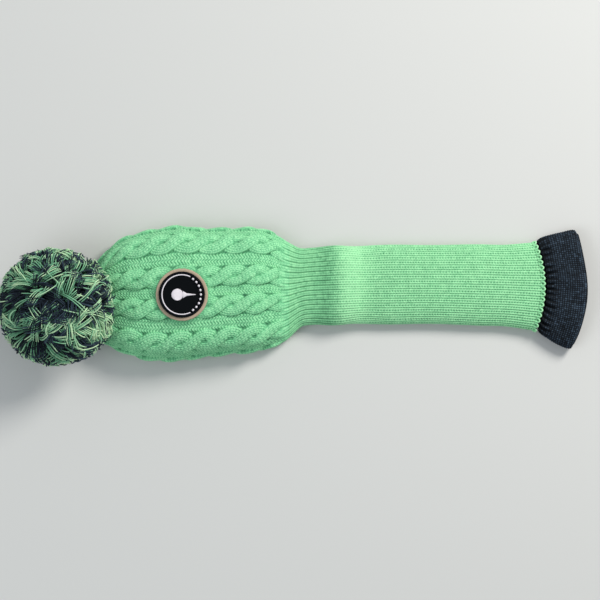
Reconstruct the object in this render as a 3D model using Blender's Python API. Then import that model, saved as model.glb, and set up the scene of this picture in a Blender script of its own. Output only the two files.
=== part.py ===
"""Knitted cover for a golf driver's head, lying empty on Z = 0.

A cable-knit head with a lining, a ribbed neck in two lengths that bend, a flared double cuff, a yarn
pom-pom tied to the crown and a round sewn badge. Metres, +X from the pom-pom to the mouth, +Z up.
"""

import math

import bmesh
import bpy
from mathutils import Matrix, Vector

# Lie of the whole cover: its centre line is a shallow bow in plan.
BOW_PEAK_X = 0.1135
BOW_PEAK_Y = 0.0102
BOW_CURVE = 0.176

# Head
CROWN_TIP_X = -0.1862
CROWN_TIP_Z = 0.018
HEAD_WIDEST_X = -0.0980
HEAD_HALF_WIDTH = 0.0598
HEAD_HEIGHT = 0.042
SHOULDER_X = -0.0440
SHOULDER_HALF_WIDTH = 0.0576
SHOULDER_HEIGHT = 0.038
KNIT_WALL = 0.0032
GATHER_HOLE = 0.0026

# Neck
THROAT_FOLD_X = 0.0087
THROAT_HALF_WIDTH = 0.0345
THROAT_HEIGHT = 0.019
THROAT_CLEARANCE = 0.0047
NECK_FOLD_X = 0.1142
NECK_CLEARANCE = 0.0040
NECK_HEIGHT = 0.017
NECK_WALL = 0.0030
NECK_HUMP_X = 0.0572
NECK_HUMP_HEIGHT = 0.0035
NECK_DIP_X = 0.0312
NECK_DIP_DEPTH = 0.0010
NECK_WIDENS_FROM_X = 0.060

# Cuff
SEAM_X = 0.2162
SEAM_LEAD = 0.0080
SEAM_HALF_WIDTH = 0.0396
HEM_X = 0.2502
HEM_LEAD = 0.0145
HEM_HALF_WIDTH = 0.0551
HEM_HEIGHT = 0.020
CUFF_LAYER = 0.0016
CUFF_SLOT = 0.0006
CHAIN_RADIUS = 0.0011
CHAIN_GAP = 0.0006

# Lining
LINING_WALL = 0.0011
LINING_TIP_GAP = 0.0095
LINING_MOUTH_HALF_WIDTH = 0.0305
LINING_MOUTH_HALF_HEIGHT = 0.0052
LINING_MOUTH_START_X = -0.0068
LINING_MOUTH_END_X = 0.0105

# Pom-pom and its tie
POM_CENTRE = Vector((-0.2150, -0.0114, 0.0430))
POM_RADII = Vector((0.0495, 0.0520, 0.0460))
POM_CORE_RADIUS = 0.0075
POM_BIND_RADIUS = 0.0092
POM_GAP = 0.0004
POM_HOLLOW_SHARE = 0.60
OUTER_KNOT_RADIUS = 0.0024
INNER_KNOT_RADIUS = 0.0042
TETHER_RADIUS = 0.0017
DRAWSTRING_RING_RADIUS = 0.0072
DRAWSTRING_RADIUS = 0.0012

# Badge
BADGE_X = -0.1001
BADGE_Y = -0.0004
BADGE_RADIUS = 0.0234
BADGE_BACKING_THICKNESS = 0.0012
BADGE_FACE_RADIUS = 0.0204
BADGE_FACE_THICKNESS = 0.0009
BADGE_RIM_RADIUS = 0.0217
BADGE_RIM_TUBE = 0.0008
BADGE_RING_RADIUS = 0.0184
BADGE_RING_HALF_WIDTH = 0.0004
BADGE_RAISED = 0.0005
BADGE_RING_OPEN_DEGREES = 130

GAP = 0.0003
RING_POINTS = 36

MINT = (0.22, 0.60, 0.32, 1.0)
NAVY = (0.016, 0.022, 0.036, 1.0)
LINING_GREY = (0.32, 0.34, 0.34, 1.0)
FELT = (0.60, 0.42, 0.30, 1.0)
BADGE_BLACK = (0.006, 0.008, 0.012, 1.0)
THREAD_WHITE = (0.78, 0.76, 0.78, 1.0)


def clear_scene():
    for obj in list(bpy.data.objects):
        bpy.data.objects.remove(obj, do_unlink=True)


def material(name, colour, roughness):
    made = bpy.data.materials.new(name)
    made.use_nodes = True
    shader = made.node_tree.nodes["Principled BSDF"]
    shader.inputs["Base Color"].default_value = colour
    shader.inputs["Roughness"].default_value = roughness
    shader.inputs["Metallic"].default_value = 0.0
    return made


def blend(start, end, amount):
    return start + (end - start) * amount


def smoothstep(low, high, value):
    t = min(max((value - low) / (high - low), 0.0), 1.0)
    return t * t * (3.0 - 2.0 * t)


def bump(value, centre, spread):
    return math.exp(-(((value - centre) / spread) ** 2))


def centre_y(x):
    return BOW_PEAK_Y - BOW_CURVE * (x - BOW_PEAK_X) ** 2


def new_object(name, bm, surface, location=(0.0, 0.0, 0.0), smooth=True):
    """Makes an object with its origin at location from a bmesh in world coordinates."""
    bmesh.ops.translate(bm, verts=bm.verts, vec=-Vector(location))
    bmesh.ops.recalc_face_normals(bm, faces=bm.faces)
    mesh = bpy.data.meshes.new(name)
    bm.to_mesh(mesh)
    bm.free()
    mesh.materials.append(surface)
    if smooth:
        mesh.shade_smooth()
        mesh.set_sharp_from_angle(angle=math.radians(40))
    obj = bpy.data.objects.new(name, mesh)
    obj.location = location
    bpy.context.scene.collection.objects.link(obj)
    return obj


# ---------------------------------------------------------------- cross-sections


def power(value, exponent):
    return math.copysign(abs(value) ** exponent, value)


def section(x, half_width, top, base, lead=0.0, round_top=2.3, flatten=1.16, level=0.36):
    """One ring of a lying tube: a pillow-like top and sides, and an underside flat at height base.

    The ring's middle stands lead further along +X than its two edges.
    """
    widest = base + level * (top - base)
    points = []
    for index in range(RING_POINTS):
        angle = 2 * math.pi * (index + 0.5) / RING_POINTS
        across, up = math.cos(angle), math.sin(angle)
        y = half_width * power(across, 2 / round_top)
        if up >= 0:
            z = widest + (top - widest) * up ** (2 / round_top)
        else:
            z = max(base, widest - flatten * (widest - base) * (-up) ** (2 / round_top))
        forward = lead * (1 - (y / half_width) ** 2)
        points.append(Vector((x + forward, centre_y(x) + y, z)))
    return points


def loft(rings, closed):
    """Skins a list of rings. A closed loft joins its last ring to its first; an open one gets caps."""
    bm = bmesh.new()
    rows = [[bm.verts.new(point) for point in ring] for ring in rings]
    count = len(rows[0])
    pairs = list(zip(rows, rows[1:])) + ([(rows[-1], rows[0])] if closed else [])
    for first, second in pairs:
        for i in range(count):
            j = (i + 1) % count
            bm.faces.new((first[i], first[j], second[j], second[i]))
    if not closed:
        bm.faces.new(rows[0])
        bm.faces.new(rows[-1])
    return bm


# ---------------------------------------------------------------- head


def crown_station(turn, inset):
    """(x, half width, top, base) of the crown; turn runs from 0 at the tip to 1 at the widest place."""
    angle = turn * math.pi / 2
    length = HEAD_WIDEST_X - CROWN_TIP_X - inset
    reach = math.cos(angle) ** (2 / 2.4)
    wide = math.sin(angle) ** (2 / 2.4)
    rise = math.sin(angle) ** (2 / 2.0)
    drop = math.sin(angle) ** (2 / 3.4)
    return (
        HEAD_WIDEST_X - length * reach,
        (HEAD_HALF_WIDTH - inset) * wide,
        CROWN_TIP_Z + (HEAD_HEIGHT - inset - CROWN_TIP_Z) * rise,
        CROWN_TIP_Z - (CROWN_TIP_Z - inset) * drop,
    )


def body_station(x, inset):
    """(x, half width, top, base) of the head from its widest place to the throat."""
    along = smoothstep(HEAD_WIDEST_X, SHOULDER_X, x)
    run = min(max((x - SHOULDER_X) / (THROAT_FOLD_X - SHOULDER_X), 0.0), 1.0)
    narrowing = smoothstep(0, 1, run**1.45)
    lowering = smoothstep(0, 1, run)
    width = blend(HEAD_HALF_WIDTH, SHOULDER_HALF_WIDTH, along)
    height = blend(HEAD_HEIGHT, SHOULDER_HEIGHT, along)
    return (
        x,
        blend(width, THROAT_HALF_WIDTH, narrowing) - inset,
        blend(height, THROAT_HEIGHT, lowering) - inset,
        inset,
    )


def head_rings(inset, turns, stations):
    rings = []
    for turn in turns:
        x, width, top, base = crown_station(turn, inset)
        width = max(width, GATHER_HOLE)
        top = max(top, CROWN_TIP_Z + GATHER_HOLE)
        base = min(base, CROWN_TIP_Z - GATHER_HOLE)
        rings.append(section(x, width, top, base))
    for x in stations:
        rings.append(section(*body_station(x, inset)))
    return rings


def head_shell(surface):
    turns = (0.0, 0.03, 0.075, 0.14, 0.22, 0.32, 0.44, 0.58, 0.76, 1.0)
    end = THROAT_FOLD_X - THROAT_CLEARANCE
    stations = [blend(HEAD_WIDEST_X, SHOULDER_X, 0.55)] + [blend(SHOULDER_X, end, i / 6) for i in range(7)]
    outer = head_rings(0.0, turns, stations)
    inner = head_rings(KNIT_WALL, turns, stations)
    new_object("head_shell", loft(outer + inner[::-1], closed=True), surface)


def lining_rings(inset):
    """The lining follows the inside of the knit and ends in a low mouth that spans the throat."""
    rings = []
    for turn in (0.10, 0.18, 0.30, 0.45, 0.65, 1.0):
        x, width, top, base = crown_station(turn, inset)
        tip_shift = LINING_TIP_GAP * (1 - turn) ** 2
        rings.append(section(x + tip_shift, width, top, base))
    mouth_z = THROAT_HEIGHT / 2
    extra = inset - KNIT_WALL - GAP
    for x in (blend(HEAD_WIDEST_X, SHOULDER_X, 0.55), SHOULDER_X, -0.029, -0.017):
        _, width, top, base = body_station(x, inset)
        pull = smoothstep(SHOULDER_X, LINING_MOUTH_START_X, x)
        rings.append(
            section(
                x,
                blend(width, LINING_MOUTH_HALF_WIDTH - extra, pull),
                blend(top, mouth_z + LINING_MOUTH_HALF_HEIGHT - extra, pull),
                blend(base, mouth_z - LINING_MOUTH_HALF_HEIGHT + extra, pull),
            )
        )
    for x in (LINING_MOUTH_START_X, LINING_MOUTH_END_X):
        rings.append(
            section(
                x,
                LINING_MOUTH_HALF_WIDTH - extra,
                mouth_z + LINING_MOUTH_HALF_HEIGHT - extra,
                mouth_z - LINING_MOUTH_HALF_HEIGHT + extra,
            )
        )
    return rings


def head_lining(surface):
    """A bag: closed at the crown, open at its mouth."""
    outer = lining_rings(KNIT_WALL + GAP)
    inner = lining_rings(KNIT_WALL + GAP + LINING_WALL)
    inner[0] = [point + Vector((LINING_WALL, 0, 0)) for point in inner[0]]
    new_object("head_lining", loft(inner + outer[::-1], closed=False), surface)


# ---------------------------------------------------------------- neck and cuff


def neck_station(x, inset):
    """(x, half width, top, base, lead): the rib dips behind the throat and lifts in one soft hump."""
    run = max(x - NECK_WIDENS_FROM_X, 0) / (SEAM_X - NECK_WIDENS_FROM_X)
    width = blend(THROAT_HALF_WIDTH, SEAM_HALF_WIDTH, run**2.2)
    height = blend(THROAT_HEIGHT, NECK_HEIGHT, smoothstep(THROAT_FOLD_X, 0.05, x))
    height += NECK_HUMP_HEIGHT * bump(x, NECK_HUMP_X, 0.016)
    height -= NECK_DIP_DEPTH * bump(x, NECK_DIP_X, 0.012)
    lead = SEAM_LEAD * smoothstep(NECK_FOLD_X, SEAM_X, x)
    return (x, width - inset, height - inset, inset, lead)


def sleeve(name, stations, surface):
    outer = [section(*neck_station(x, 0.0)) for x in stations]
    inner = [section(*neck_station(x, NECK_WALL)) for x in stations]
    new_object(name, loft(outer + inner[::-1], closed=True), surface)


def cuff_station(along, inset):
    """(x, half width, top, base, lead) of the flared cuff; along runs from 0 at the seam to 1 at the hem."""
    flare = along**0.85
    return (
        blend(SEAM_X + 2 * (CHAIN_RADIUS + CHAIN_GAP), HEM_X, along),
        blend(SEAM_HALF_WIDTH, HEM_HALF_WIDTH, flare) - inset,
        blend(NECK_HEIGHT, HEM_HEIGHT, along) - inset,
        inset,
        blend(SEAM_LEAD, HEM_LEAD, along),
    )


def cuff_band(surface):
    """Two layers of jersey with a slot between them, joined by the fold at the hem."""
    stops = (0.0, 0.3, 0.65, 1.0)
    fold = 0.965
    slot_stops = (fold, 0.5, 0.0)
    second = CUFF_LAYER + CUFF_SLOT
    rings = [section(*cuff_station(stop, 0.0)) for stop in stops]
    rings += [section(*cuff_station(stop, second + CUFF_LAYER)) for stop in stops[::-1]]
    rings += [section(*cuff_station(stop, second)) for stop in slot_stops[::-1]]
    rings += [section(*cuff_station(stop, CUFF_LAYER)) for stop in slot_stops]
    new_object("cuff_band", loft(rings, closed=True), surface)


def linking_chain(surface):
    """A cord of yarn round the end of the rib, between the neck and the cuff."""
    x = SEAM_X + CHAIN_RADIUS + CHAIN_GAP
    ring = section(x, SEAM_HALF_WIDTH, NECK_HEIGHT, CHAIN_RADIUS, SEAM_LEAD)
    yarn_tube("cuff_linking_chain", ring, CHAIN_RADIUS, surface, cyclic=True)


def yarn_tube(name, points, radius, surface, cyclic=False, resolution=2):
    curve = bpy.data.curves.new(name, "CURVE")
    curve.dimensions = "3D"
    curve.bevel_depth = radius
    curve.bevel_resolution = resolution
    curve.use_fill_caps = not cyclic
    spline = curve.splines.new("POLY")
    spline.points.add(len(points) - 1)
    for target, point in zip(spline.points, points):
        target.co = (*point, 1.0)
    spline.use_cyclic_u = cyclic
    curve.materials.append(surface)
    obj = bpy.data.objects.new(name, curve)
    bpy.context.scene.collection.objects.link(obj)
    return obj


# ---------------------------------------------------------------- pom-pom and tie


def tie_point():
    """Where the tie leaves the crown: the pom-pom swings about this point."""
    return Vector((CROWN_TIP_X - GAP - OUTER_KNOT_RADIUS, centre_y(CROWN_TIP_X), CROWN_TIP_Z))


def ball(name, centre, radius, surface, subdivisions=2):
    bm = bmesh.new()
    bmesh.ops.create_icosphere(bm, subdivisions=subdivisions, radius=radius)
    bmesh.ops.translate(bm, verts=bm.verts, vec=centre)
    return new_object(name, bm, surface, location=centre)


def crown_drawstring(surface):
    centre = Vector((CROWN_TIP_X - GAP - DRAWSTRING_RADIUS, centre_y(CROWN_TIP_X), CROWN_TIP_Z))
    ring = []
    for index in range(24):
        angle = 2 * math.pi * index / 24
        offset = Vector((0, math.cos(angle), math.sin(angle))) * DRAWSTRING_RING_RADIUS
        ring.append(centre + offset)
    yarn_tube("crown_drawstring", ring, DRAWSTRING_RADIUS, surface, cyclic=True)


def inner_knot(surface):
    """The knot inside the crown, with the stub of yarn that fills the gathered hole."""
    knot_x = CROWN_TIP_X + KNIT_WALL + GAP + INNER_KNOT_RADIUS
    profile = [(CROWN_TIP_X - 0.0001, TETHER_RADIUS)]
    profile.append((knot_x - INNER_KNOT_RADIUS * math.cos(0.42), TETHER_RADIUS))
    for step in range(1, 8):
        angle = 0.42 + (math.pi - 0.42) * step / 8
        reach = (knot_x - INNER_KNOT_RADIUS * math.cos(angle), INNER_KNOT_RADIUS * math.sin(angle))
        profile.append(reach)
    rings = []
    for x, radius in profile:
        circle = []
        for index in range(16):
            angle = 2 * math.pi * index / 16
            offset = Vector((0, math.cos(angle), math.sin(angle))) * radius
            circle.append(Vector((x, centre_y(CROWN_TIP_X), CROWN_TIP_Z)) + offset)
        rings.append(circle)
    new_object("tie_inner_knot", loft(rings, closed=False), surface)


def pom_tether(surface):
    start, end = tie_point(), POM_CENTRE
    direction = (end - start).normalized()
    first = start + direction * (OUTER_KNOT_RADIUS + GAP)
    last = end - direction * (POM_BIND_RADIUS + GAP)
    points = [first.lerp(last, i / 5) for i in range(6)]
    yarn_tube("pom_tether", points, TETHER_RADIUS, surface)


def unit_ball_tie_direction():
    """Direction of the tie in the unit ball that is later stretched to the pom-pom's radii."""
    reach = tie_point() - POM_CENTRE
    return Vector(along / radius for along, radius in zip(reach, POM_RADII)).normalized()


def tuft_directions():
    """Twelve even directions, the corners of an icosahedron, the first one towards the tie."""
    bm = bmesh.new()
    bmesh.ops.create_icosphere(bm, subdivisions=1, radius=1.0)
    corners = [vert.co.normalized() for vert in bm.verts]
    bm.free()
    corners.sort(key=lambda co: (round(co.z, 4), round(math.atan2(co.y, co.x), 4)), reverse=True)
    turn = corners[0].rotation_difference(unit_ball_tie_direction()).to_matrix()
    return [turn @ corner for corner in corners]


def tuft(name, direction, others, surface):
    """One bundle of cut yarn: a wedge of the ball, from its binding to its trimmed surface.

    It is flat where it lies on the floor, and where the ball is pressed hollow against the crown.
    """
    bm = bmesh.new()
    bmesh.ops.create_icosphere(bm, subdivisions=3, radius=1.0)
    scale = sum(POM_RADII) / 3
    planes = [
        (normal * POM_GAP / 2 / scale, normal)
        for normal in ((direction - other).normalized() for other in others)
    ]
    planes.append((direction * (POM_BIND_RADIUS + GAP) / min(POM_RADII), direction))
    floor = Vector((0, 0, 1))
    planes.append((floor * (-POM_CENTRE.z / POM_RADII.z), floor))
    away = -unit_ball_tie_direction()
    planes.append((away * -POM_HOLLOW_SHARE, away))
    for place, normal in planes:
        everything = bm.verts[:] + bm.edges[:] + bm.faces[:]
        cut = bmesh.ops.bisect_plane(
            bm, geom=everything, plane_co=place, plane_no=normal, clear_inner=True
        )
        edges = [item for item in cut["geom_cut"] if isinstance(item, bmesh.types.BMEdge)]
        if edges:
            bmesh.ops.edgeloop_fill(bm, edges=edges)
    bmesh.ops.scale(bm, vec=POM_RADII, verts=bm.verts)
    bmesh.ops.translate(bm, vec=POM_CENTRE, verts=bm.verts)
    new_object(name, bm, surface, location=POM_CENTRE)


def pom_pom(mint, navy):
    directions = tuft_directions()
    for index in range(1, len(directions)):
        own = directions[index]
        others = directions[:index] + directions[index + 1 :]
        colour, surface = ("mint", mint) if index % 2 else ("navy", navy)
        tuft(f"pom_tuft_{colour}_{(index + 1) // 2}", own, others, surface)


def center_tie(surface):
    """The binding at the pom-pom's middle: a waisted spool of yarn turns round the bundle."""
    axis = (POM_CENTRE - tie_point()).normalized()
    turn = Vector((0, 0, 1)).rotation_difference(axis).to_matrix()
    rings = []
    for step in range(1, 12):
        angle = math.pi * step / 12
        ridge = 0.0006 * math.cos(8 * angle)
        radius = POM_CORE_RADIUS * math.sin(angle) ** 0.7 + ridge * math.sin(angle)
        circle = []
        for index in range(16):
            around = 2 * math.pi * index / 16
            along = -POM_CORE_RADIUS * math.cos(angle)
            local = Vector((radius * math.cos(around), radius * math.sin(around), along))
            circle.append(POM_CENTRE + turn @ local)
        rings.append(circle)
    new_object("pom_center_tie", loft(rings, closed=False), surface, location=POM_CENTRE)


# ---------------------------------------------------------------- badge


def disc(name, radius, low, thickness, surface):
    bm = bmesh.new()
    place = Matrix.Translation((BADGE_X, BADGE_Y, low + thickness / 2))
    bmesh.ops.create_cone(
        bm, cap_ends=True, segments=64, radius1=radius, radius2=radius, depth=thickness, matrix=place
    )
    obj = new_object(name, bm, surface)
    edge = obj.modifiers.new("edge", "BEVEL")
    edge.width = thickness * 0.3
    edge.segments = 2
    edge.limit_method = "ANGLE"
    return obj


def badge_rim(low, surface):
    ring = []
    for index in range(56):
        angle = 2 * math.pi * index / 56
        x = BADGE_X + BADGE_RIM_RADIUS * math.cos(angle)
        y = BADGE_Y + BADGE_RIM_RADIUS * math.sin(angle)
        ring.append(Vector((x, y, low + BADGE_RIM_TUBE)))
    yarn_tube("badge_border", ring, BADGE_RIM_TUBE, surface, cyclic=True)


def raised_outline(name, outline, low, surface):
    """A flat raised shape: an outline in the badge's plane, extruded up."""
    bm = bmesh.new()
    face = bm.faces.new([bm.verts.new((BADGE_X + x, BADGE_Y + y, low)) for x, y in outline])
    pulled = bmesh.ops.extrude_face_region(bm, geom=[face])
    top = [item for item in pulled["geom"] if isinstance(item, bmesh.types.BMVert)]
    bmesh.ops.translate(bm, verts=top, vec=(0, 0, BADGE_RAISED))
    bmesh.ops.triangulate(bm, faces=bm.faces)
    return new_object(name, bm, surface, smooth=False)


def badge_ring(low, surface):
    """A thin ring that is open towards the mouth of the cover."""
    half_open = math.radians(BADGE_RING_OPEN_DEGREES / 2)
    angles = [blend(half_open, 2 * math.pi - half_open, i / 40) for i in range(41)]
    outer = BADGE_RING_RADIUS + BADGE_RING_HALF_WIDTH
    inner = BADGE_RING_RADIUS - BADGE_RING_HALF_WIDTH
    outline = [(outer * math.cos(a), outer * math.sin(a)) for a in angles]
    outline += [(inner * math.cos(a), inner * math.sin(a)) for a in reversed(angles)]
    raised_outline("badge_ring", outline, low, surface)


def bead_arc(low, surface):
    """A string of beads in the ring's opening."""
    beads, steps = 9, 6
    half = math.radians(BADGE_RING_OPEN_DEGREES / 2 - 10)
    rings = []
    for step in range(beads * steps + 1):
        angle = blend(-half, half, step / (beads * steps))
        radius = 0.00035 + 0.00050 * abs(math.sin(math.pi * step / steps))
        outward = Vector((math.cos(angle), math.sin(angle), 0))
        middle = Vector((BADGE_X, BADGE_Y, low + 0.00085)) + outward * BADGE_RING_RADIUS * 0.97
        circle = []
        for index in range(8):
            around = 2 * math.pi * index / 8
            offset = outward * math.cos(around) + Vector((0, 0, math.sin(around)))
            circle.append(middle + offset * radius)
        rings.append(circle)
    new_object("badge_bead_arc", loft(rings, closed=False), surface)


def ball_on_tee(low, surface):
    """A golf ball on a tee, its top towards the crown: one outline of arcs and a tapered peg."""
    ball_radius, ball_x = 0.0052, -0.0040
    cup_half, stem_half, tip_x = 0.0030, 0.0011, 0.0125
    cup_x = ball_x + ball_radius * 0.93
    join = math.asin(0.0019 / ball_radius)
    angles = [blend(join, 2 * math.pi - join, i / 28) for i in range(29)]
    outline = [(ball_x + ball_radius * math.cos(a), ball_radius * math.sin(a)) for a in angles]
    outline += [
        (cup_x, -cup_half),
        (cup_x + 0.0010, -cup_half),
        (cup_x + 0.0030, -stem_half),
        (tip_x, 0.0),
        (cup_x + 0.0030, stem_half),
        (cup_x + 0.0010, cup_half),
        (cup_x, cup_half),
    ]
    raised_outline("badge_emblem", outline, low, surface)


def badge(felt, black, white):
    low = HEAD_HEIGHT + GAP
    disc("badge_backing", BADGE_RADIUS, low, BADGE_BACKING_THICKNESS, felt)
    on_backing = low + BADGE_BACKING_THICKNESS + GAP
    badge_rim(on_backing, black)
    disc("badge_face", BADGE_FACE_RADIUS, on_backing, BADGE_FACE_THICKNESS, black)
    on_face = on_backing + BADGE_FACE_THICKNESS + GAP
    badge_ring(on_face, white)
    bead_arc(on_face, white)
    ball_on_tee(on_face, white)


def main():
    clear_scene()
    mint = material("mint_knit", MINT, 0.9)
    rib = material("mint_rib", MINT, 0.9)
    chain = material("mint_chain", MINT, 0.9)
    jersey = material("navy_jersey", NAVY, 0.9)
    tie_yarn = material("tie_yarn", NAVY, 0.85)
    pile_mint = material("pom_mint", MINT, 0.95)
    pile_navy = material("pom_navy", NAVY, 0.95)
    head_shell(mint)
    head_lining(material("lining", LINING_GREY, 0.8))
    crown_drawstring(mint)
    inner_knot(tie_yarn)
    ball("tie_outer_knot", tie_point(), OUTER_KNOT_RADIUS, tie_yarn)
    pom_tether(tie_yarn)
    center_tie(tie_yarn)
    pom_pom(pile_mint, pile_navy)
    upper = [blend(THROAT_FOLD_X + THROAT_CLEARANCE, NECK_FOLD_X - NECK_CLEARANCE, i / 8) for i in range(9)]
    lower = [blend(NECK_FOLD_X + NECK_CLEARANCE, SEAM_X, i / 5) for i in range(6)]
    sleeve("neck_upper_sleeve", upper, rib)
    sleeve("neck_lower_sleeve", lower, rib)
    linking_chain(chain)
    cuff_band(jersey)
    badge(
        material("badge_felt", FELT, 0.85),
        material("badge_black", BADGE_BLACK, 0.6),
        material("badge_white", THREAD_WHITE, 0.6),
    )


main()
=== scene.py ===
"""Looks of the knitted driver head cover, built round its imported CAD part.

The mint tube is one knitted surface: nine cables with purl grounds between them on the head, then a
one-by-one rib down the neck. Its stitches, the pleats of the crown and the cables are real relief.
The pom-pom is made of strands of yarn. Metres, +X from the pom-pom to the mouth, +Z up.
"""

import math

import bpy
import numpy as np
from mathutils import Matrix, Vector


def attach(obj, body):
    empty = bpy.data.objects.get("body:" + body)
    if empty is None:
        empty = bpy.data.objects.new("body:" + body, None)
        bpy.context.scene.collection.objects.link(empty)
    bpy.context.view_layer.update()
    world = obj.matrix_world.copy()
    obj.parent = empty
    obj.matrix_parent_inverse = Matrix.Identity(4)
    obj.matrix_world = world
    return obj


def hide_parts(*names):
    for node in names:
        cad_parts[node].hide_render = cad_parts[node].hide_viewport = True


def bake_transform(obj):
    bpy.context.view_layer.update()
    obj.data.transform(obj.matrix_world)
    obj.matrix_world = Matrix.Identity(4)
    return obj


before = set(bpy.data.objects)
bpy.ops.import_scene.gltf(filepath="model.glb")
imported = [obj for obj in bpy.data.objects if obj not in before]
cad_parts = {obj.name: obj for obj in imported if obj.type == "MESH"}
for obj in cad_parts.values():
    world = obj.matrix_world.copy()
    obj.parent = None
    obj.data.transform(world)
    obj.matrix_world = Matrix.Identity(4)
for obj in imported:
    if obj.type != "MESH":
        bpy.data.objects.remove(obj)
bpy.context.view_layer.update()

TAU = 2 * math.pi

# ---------- sizes shared with the CAD source

BOW_PEAK_X, BOW_PEAK_Y, BOW_CURVE = 0.1135, 0.0102, 0.176
CROWN_POWER, SIDE_POWER, BASE_POWER = 2.4, 2.3, 3.4
WIDEST_SHARE = 0.36
CROWN_TIP_X, CROWN_TIP_Z = -0.1862, 0.018
HEAD_WIDEST_X, HEAD_HALF_WIDTH, HEAD_HEIGHT = -0.0980, 0.0598, 0.042
SHOULDER_X, SHOULDER_HALF_WIDTH, SHOULDER_HEIGHT = -0.0440, 0.0576, 0.038
KNIT_WALL, GATHER_HOLE = 0.0032, 0.0026
THROAT_X, THROAT_HALF_WIDTH, THROAT_HEIGHT = 0.0087, 0.0345, 0.019
NECK_FOLD_X, NECK_HEIGHT, NECK_WALL = 0.1142, 0.017, 0.0030
HUMP_X, HUMP_HEIGHT, HUMP_SPREAD = 0.0572, 0.0035, 0.016
DIP_X, DIP_DEPTH, DIP_SPREAD = 0.0312, 0.0010, 0.012
NECK_WIDENS_FROM_X = 0.060
SEAM_X, SEAM_LEAD, SEAM_HALF_WIDTH = 0.2162, 0.0080, 0.0396
HEM_X, HEM_LEAD, HEM_HALF_WIDTH, HEM_HEIGHT = 0.2502, 0.0145, 0.0551, 0.020
CUFF_WALL = 0.0038
CHAIN_RADIUS, CHAIN_GAP = 0.0011, 0.0006
POM_CENTRE = np.array((-0.2150, -0.0114, 0.0430))
POM_RADII = np.array((0.0495, 0.0520, 0.0460))
TIE_POINT = np.array((-0.1889, -0.00561, 0.0180))
BADGE = np.array((-0.1001, -0.0004))
BADGE_RADIUS = 0.0234

# ---------- the knit

WALES = 72
CABLES = 9
CABLE_SHARE = 0.70
HEAD_COURSE = 0.0028
NECK_COURSE = 0.00242
COURSES_PER_CROSSING = 8
CROSSING_X = -0.0657
RIB_FROM_X, RIB_FULL_X = -0.0150, -0.0055
AROUND_PER_WALE = 6
ROWS_PER_COURSE = 4
HEAD_END_X = -0.0040
UPPER_END_X = 0.0620
MIDDLE_END_X = 0.1660


def mix(start, end, amount):
    return start + (end - start) * amount


def smoothstep(low, high, value):
    t = np.clip((value - low) / (high - low), 0.0, 1.0)
    return t * t * (3.0 - 2.0 * t)


def bell(value, centre, spread):
    return np.exp(-(((value - centre) / spread) ** 2))


def centre_y(x):
    """The bowed middle line, with the small sideways shifts of the crown and the shoulder."""
    bow = BOW_PEAK_Y - BOW_CURVE * (x - BOW_PEAK_X) ** 2
    flank = smoothstep(-0.105, -0.085, x) - smoothstep(-0.035, -0.015, x)
    return bow + 0.0024 * bell(x, -0.156, 0.018) - 0.0013 * flank - 0.0033 * bell(x, -0.008, 0.013)


def cyclic(value):
    """How far value is from the middle of its unit step: 0 in the middle, 1 at either end."""
    return np.abs(value - np.floor(value) - 0.5) * 2


# ---------- cross-sections


def crown_station(turn, inset):
    angle = turn * math.pi / 2
    length = HEAD_WIDEST_X - CROWN_TIP_X - inset
    reach = np.cos(angle) ** (2 / CROWN_POWER)
    wide = np.sin(angle) ** (2 / CROWN_POWER)
    rise, drop = np.sin(angle), np.sin(angle) ** (2 / BASE_POWER)
    x = HEAD_WIDEST_X - length * reach
    width = np.maximum((HEAD_HALF_WIDTH - inset) * wide, GATHER_HOLE)
    top = CROWN_TIP_Z + np.maximum((HEAD_HEIGHT - inset - CROWN_TIP_Z) * rise, GATHER_HOLE)
    base = CROWN_TIP_Z - np.maximum((CROWN_TIP_Z - inset) * drop, GATHER_HOLE)
    return np.stack([x, width, top, base, np.zeros_like(x)])


def body_station(x, inset):
    along = smoothstep(HEAD_WIDEST_X, SHOULDER_X, x)
    run = np.clip((x - SHOULDER_X) / (THROAT_X - SHOULDER_X), 0.0, 1.0)
    narrowing = smoothstep(0, 1, run**1.45)
    lowering = smoothstep(0, 1, run)
    width = mix(HEAD_HALF_WIDTH, SHOULDER_HALF_WIDTH, along)
    height = mix(HEAD_HEIGHT, SHOULDER_HEIGHT, along)
    slimmer = smoothstep(-0.105, -0.085, x) - smoothstep(-0.026, -0.014, x)
    half_width = mix(width, THROAT_HALF_WIDTH, narrowing) - inset
    half_width = half_width - 0.0020 * slimmer + 0.0020 * bell(x, -0.004, 0.009)
    top = mix(height, THROAT_HEIGHT, lowering) - inset
    return np.stack([x, half_width, top, np.full_like(x, inset), np.zeros_like(x)])


def neck_station(x, inset):
    run = np.maximum(x - NECK_WIDENS_FROM_X, 0) / (SEAM_X - NECK_WIDENS_FROM_X)
    width = mix(THROAT_HALF_WIDTH, SEAM_HALF_WIDTH, run**2.2)
    width = width + 0.0012 * bell(x, 0.086, 0.026) - 0.0013 * bell(x, 0.190, 0.018)
    height = mix(THROAT_HEIGHT, NECK_HEIGHT, smoothstep(THROAT_X, 0.05, x))
    height = height + HUMP_HEIGHT * bell(x, HUMP_X, HUMP_SPREAD)
    height = height - DIP_DEPTH * bell(x, DIP_X, DIP_SPREAD)
    lead = SEAM_LEAD * smoothstep(NECK_FOLD_X, SEAM_X, x)
    return np.stack([x, width - inset, height - inset, np.full_like(x, inset), lead])


def cuff_station(along, inset):
    flare = along**0.85
    x = mix(SEAM_X + 2 * (CHAIN_RADIUS + CHAIN_GAP), HEM_X, along)
    half_width = mix(SEAM_HALF_WIDTH, HEM_HALF_WIDTH, flare) - inset
    top = mix(NECK_HEIGHT, HEM_HEIGHT, along) - inset
    return np.stack([x, half_width, top, np.full_like(x, inset), mix(SEAM_LEAD, HEM_LEAD, along)])


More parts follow.
